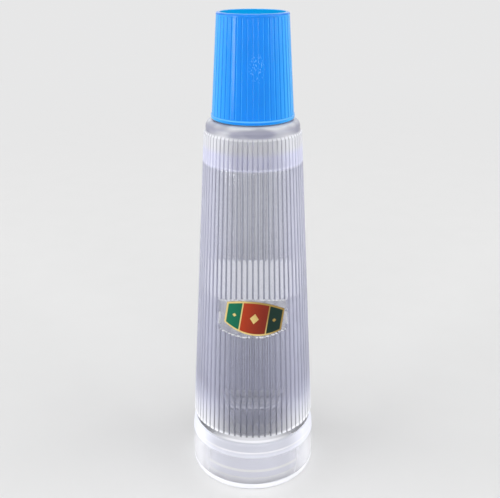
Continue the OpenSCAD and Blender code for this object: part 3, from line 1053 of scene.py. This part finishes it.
# %% Make the cap
crown_inside_r = cap_inside_r(CROWN_INSIDE_Z)
band_r = cap_crest_r(CAP_BAND_Z) + CAP_STEP
cap_rows = [LIP_TOP + CAP_STEP, LIP_TOP + LIP_ROUND, *CAP_MIDDLE_ROWS, CAP_BAND_Z - CAP_STEP]
cap_profile = [
    (0, CROWN_INSIDE_Z),
    *arc(crown_inside_r - CROWN_ROUND, CROWN_INSIDE_Z - CROWN_ROUND, CROWN_ROUND, 90, 0, 4),
    (cap_inside_r(BEAD_Z), BEAD_Z + BEAD_HALF),
    (cap_inside_r(BEAD_Z) - BEAD_DEPTH, BEAD_Z),
    (cap_inside_r(BEAD_Z), BEAD_Z - BEAD_HALF),
    *[(cap_inside_r(z), z) for z in THREAD_ROWS[::-1] + CAP_THREAD_Z - THREAD_Z],
    (cap_inside_r(CAP_LOW), CAP_LOW + LIP_CHAMFER),
    (cap_inside_r(CAP_LOW) + LIP_CHAMFER, CAP_LOW),
    *arc(LIP_R - LIP_ROUND, CAP_LOW + LIP_ROUND, LIP_ROUND, -90, 0, 4),
    *arc(LIP_R - LIP_ROUND, LIP_TOP - LIP_ROUND, LIP_ROUND, 0, 90, 4),
    *[(cap_crest_r(z), z) for z in cap_rows],
    (band_r, CAP_BAND_Z),
    *arc(band_r - CAP_EDGE, CAP_TOP - CAP_EDGE, CAP_EDGE, 0, 90, 8),
    (CAP_RIM_R + RIM_CHAMFER, CAP_TOP),
    (CAP_RIM_R, CAP_TOP - RIM_CHAMFER),
    (CAP_RIM_R - RIM_CHAMFER, CROWN_Z),
    (GATE_R, CROWN_Z),
    (GATE_R - GATE_SLOPE, GATE_Z),
    (0, GATE_Z),
]
cap = lathe("cap_ribbed", cap_profile, rib_angles(CAP_RIB_COUNT), cap_relief)
settle(cap, "cap", "cap_blue", [CAP_SIDE, CAP_CROWN], "cap_shell")
inside_rim = [math.hypot(*face.center[:2]) < CAP_RIM_R * MM for face in cap.data.polygons]
lifted = [face.center.z > (CROWN_Z - 0.3) * MM for face in cap.data.polygons]
on_crown = np.logical_and(inside_rim, lifted)
cap.data.polygons.foreach_set("material_index", on_crown.astype(np.int32))
print("crown faces:", sum(on_crown))

# %% [markdown]
# ## Applicator
# Under the cap sits the applicator. A plug is snapped into the neck, and a ring holds the foot of a foam
# dome on it. Plug and ring are plain mouldings, so their solid meshes stay and only get a waxy white
# finish. Foam has no smooth face at all: the dome is turned finely, then pressed in at many small places,
# and cells in the material cover the rest, with painted shade in their pits.

# %% White mouldings
WHITE = (0.84, 0.84, 0.81, 1)
OFF_WHITE = (0.78, 0.78, 0.74, 1)


def white_plastic():
    material, tree, shader = new_finish(
        "white_plastic", IOR=1.5, Subsurface_Weight=0.2, Subsurface_Scale=0.5 * MM)
    spot = place(tree)
    cloud = noise(spot, 260.0, 3.0)
    wear = noise(spot, 1400.0, 3.0)
    paint(shader, Base_Color=mixed(cloud, OFF_WHITE, WHITE), Roughness=0.32 + 0.16 * wear)
    bump(shader, noise(spot, 2400.0), 0.1, 0.04 * MM)
    return material


WHITE_FINISH = white_plastic()
for node in ("neck_plug", "sponge_ring"):
    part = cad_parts[node]
    part.data.materials.clear()
    part.data.materials.append(WHITE_FINISH)
    print(node, "has", len(part.data.polygons), "faces")


# %% Foam
def foam(name, light, dark, cells, depth):
    """Foam as cells, with painted shade in the pits between pale walls. The cells are counted to the metre.
    """
    material, tree, shader = new_finish(name, Specular_IOR_Level=0.2)
    spot = place(tree)
    coarse = Wire.node(tree, "TexVoronoi", {"feature": "F1"}, {"Vector": spot, "Scale": cells})
    fine = Wire.node(tree, "TexVoronoi", {"feature": "F1"}, {"Vector": spot, "Scale": cells * 2.3})
    # Painted shade in the pits of the foam.
    pit = coarse.below(0.34, 0.16)
    paint(shader, Base_Color=mixed(pit, light, dark), Roughness=0.8 + 0.15 * fine)
    bump(shader, coarse + 0.4 * fine, 0.8, depth)
    return material


def press_in(piece, count, depth, width, seed):
    """Presses small round hollows into a mesh at random places, along its own normals."""
    mesh = piece.data
    size = len(mesh.vertices) * 3
    spots, normals = np.empty(size), np.empty(size)
    mesh.vertices.foreach_get("co", spots)
    mesh.vertices.foreach_get("normal", normals)
    spots, normals = spots.reshape(-1, 3), normals.reshape(-1, 3)
    picks = np.random.default_rng(seed).choice(len(spots), count, replace=False)
    away = np.linalg.norm(spots[:, None, :] - spots[None, picks, :], axis=2)
    hollow = np.exp(-(away / width) ** 2).sum(axis=1)
    spots = spots - normals * np.minimum(hollow, 1.2)[:, None] * depth
    mesh.vertices.foreach_set("co", spots.ravel())
    mesh.update()
    print(piece.name, "has", count, "hollows")


# %% Make the sponge
sponge_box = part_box("sponge_tip")
SPONGE_LOW = sponge_box[0].z / MM
SPONGE_TOP = sponge_box[1].z / MM
SPONGE_FOOT_R = sponge_box[1].x / MM
SPONGE_R = SPONGE_FOOT_R - 0.9
SPONGE_EDGE = 0.2
SPONGE_FOOT_T = 1.3
SPONGE_ROW_GAP = 0.3
SPONGE_LIGHT = (0.86, 0.74, 0.42, 1)
SPONGE_PIT_SHADE = (0.42, 0.31, 0.13, 1)
foot_top = SPONGE_LOW + SPONGE_FOOT_T
dome_z = SPONGE_TOP - SPONGE_R
sponge_profile = [
    (0, SPONGE_LOW),
    (SPONGE_FOOT_R - SPONGE_EDGE, SPONGE_LOW),
    (SPONGE_FOOT_R, SPONGE_LOW + 0.3),
    (SPONGE_FOOT_R, foot_top - SPONGE_EDGE),
    (SPONGE_FOOT_R - SPONGE_EDGE, foot_top),
    (SPONGE_R, foot_top),
    *[(SPONGE_R, z) for z in np.linspace(foot_top + SPONGE_ROW_GAP, dome_z - SPONGE_ROW_GAP, 10)],
    *arc(0, dome_z, SPONGE_R, 0, 90, 26),
]
sponge_profile[-1] = (0, SPONGE_TOP)
sponge = lathe("sponge_dome", sponge_profile, even_angles(110))
press_in(sponge, count=240, depth=0.16 * MM, width=0.45 * MM, seed=4)
sponge_finish = foam("sponge_foam", SPONGE_LIGHT, SPONGE_PIT_SHADE, cells=1900.0, depth=0.22 * MM)
settle(sponge, "bottle", "sponge_foam", [sponge_finish], "sponge_tip")

# %% [markdown]
# ## Seal
# A disc of closed foam lies loose in the crown and presses on the sponge when the cap is screwed down. It
# is cut from sheet, so its faces are even and its edge is a little rounded. The same lathe makes it, and
# its hollows are shallower and its cells smaller than the sponge's.

# %% Make the seal
seal_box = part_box("cap_seal")
SEAL_LOW = seal_box[0].z / MM
SEAL_TOP = seal_box[1].z / MM
SEAL_R = seal_box[1].x / MM
SEAL_EDGE = 0.35
SEAL_CROWN = 0.05
SEAL_LIGHT = (0.84, 0.84, 0.82, 1)
SEAL_PIT_SHADE = (0.62, 0.62, 0.60, 1)
flat_r = SEAL_R - SEAL_EDGE
seal_profile = [
    *[(r, SEAL_LOW + SEAL_CROWN * (r / SEAL_R) ** 2) for r in np.linspace(0, flat_r, 16)],
    *arc(flat_r, SEAL_LOW + SEAL_EDGE + SEAL_CROWN, SEAL_EDGE, -70, 0, 4),
    *arc(flat_r, SEAL_TOP - SEAL_EDGE - SEAL_CROWN, SEAL_EDGE, 0, 70, 4),
    *[(r, SEAL_TOP - SEAL_CROWN * (r / SEAL_R) ** 2) for r in np.linspace(flat_r, 0, 16)],
]
seal = lathe("seal_disc", seal_profile, even_angles(110))
press_in(seal, count=160, depth=0.05 * MM, width=0.5 * MM, seed=9)
seal_finish = foam("seal_foam", SEAL_LIGHT, SEAL_PIT_SHADE, cells=3600.0, depth=0.06 * MM)
settle(seal, "seal", "seal_foam", [seal_finish], "cap_seal")

# %% [markdown]
# ## Floor and light
# A clear bottle shows what stands round it. A pale floor runs back until it fades into the backdrop, and
# Light Path gives the backdrop's colour only to rays that the eye follows, straight, in a gloss or through
# the plastic, so that a bright background doesn't light the bottle as well. Soft boxes at the front, the
# back and both sides draw the bright edges of the cone, one above keeps the crown and the floor even, and
# a small strip puts a line of light on the left of the cap.

# %% Floor
FLOOR_COLOUR = (0.80, 0.80, 0.795, 1)
BACKDROP = (0.80, 0.80, 0.803, 1)
FLOOR_HALF = 14.0
FADE_R = 0.42
FADE_SOFT = 0.32


def seen_directly(tree):
    """1 for a ray from the eye, from a gloss or through clear plastic, 0 for one that only brings light."""
    kinds = ("Is Camera Ray", "Is Glossy Ray", "Is Transmission Ray")
    camera_ray, gloss_ray, clear_ray = [Wire.node(tree, "LightPath", output=kind) for kind in kinds]
    return (camera_ray + gloss_ray + clear_ray).math("MINIMUM", 1.0)


def floor_finish():
    material, tree, shader = new_finish("floor", Roughness=0.7, Specular_IOR_Level=0.05)
    spot = place(tree)
    x, y = axes(spot, "XY")
    speck = noise(spot, 60.0, 4.0)
    paint(shader, Base_Color=mixed(speck, darker(FLOOR_COLOUR, 0.97), FLOOR_COLOUR))
    away = (x * x + y * y) ** 0.5
    backdrop = Wire.node(tree, "Emission", sockets={"Color": BACKDROP})
    show_both(away.above(FADE_R, FADE_SOFT) * seen_directly(tree), Wire(shader.outputs[0]), backdrop)
    return material


corner_signs = [(-1, -1), (1, -1), (1, 1), (-1, 1)]
floor_corners = [(x * FLOOR_HALF, y * FLOOR_HALF, 0) for x, y in corner_signs]
floor = new_object("floor", floor_corners, [(0, 1, 2, 3)])
floor.data.materials.append(floor_finish())


# %% Lamps and world
WORLD_LIGHT = (0.32, 0.32, 0.325, 1)
BOTTLE_MIDDLE = (0, 0, 0.06)
CAP_MIDDLE = (0, 0, 0.12)


def soft_box(name, place_at, aim_at, size, power):
    data = bpy.data.lights.new(name, "AREA")
    data.shape = "RECTANGLE"
    data.size, data.size_y = size
    data.energy = power
    lamp = bpy.data.objects.new(name, data)
    lamp.location = place_at
    lamp.visible_camera = False
    way = np.array(aim_at) - np.array(place_at)
    lamp.rotation_euler = Vector(way).to_track_quat("-Z", "Y").to_euler()
    scene.collection.objects.link(lamp)


soft_box("ceiling", (0.0, 3.0, 5.7), (0, 3.0, 0), (9.6, 10.2), 130.0)
soft_box("front_box", (0.0, -3.3, 1.7), BOTTLE_MIDDLE, (4.2, 2.7), 58.0)
soft_box("back_box", (0.0, 3.9, 1.75), BOTTLE_MIDDLE, (4.8, 2.4), 18.5)
soft_box("left_box", (-2.3, -0.63, 1.1), BOTTLE_MIDDLE, (3.0, 2.2), 40.0)
soft_box("right_box", (2.3, -0.63, 1.1), BOTTLE_MIDDLE, (3.0, 2.2), 40.0)
soft_box("left_strip", (-1.18, -0.76, 0.16), CAP_MIDDLE, (0.20, 0.30), 1.5)
print("lamps:", sorted(lamp.name for lamp in bpy.data.lights))

world = bpy.data.worlds.new("studio")
world.use_nodes = True
sky = world.node_tree
sky_colour = mixed(seen_directly(sky), WORLD_LIGHT, BACKDROP)
Wire.feed(sky_colour, sky.nodes["Background"].inputs["Color"])
scene.world = world
scene.view_settings.view_transform = "Standard"
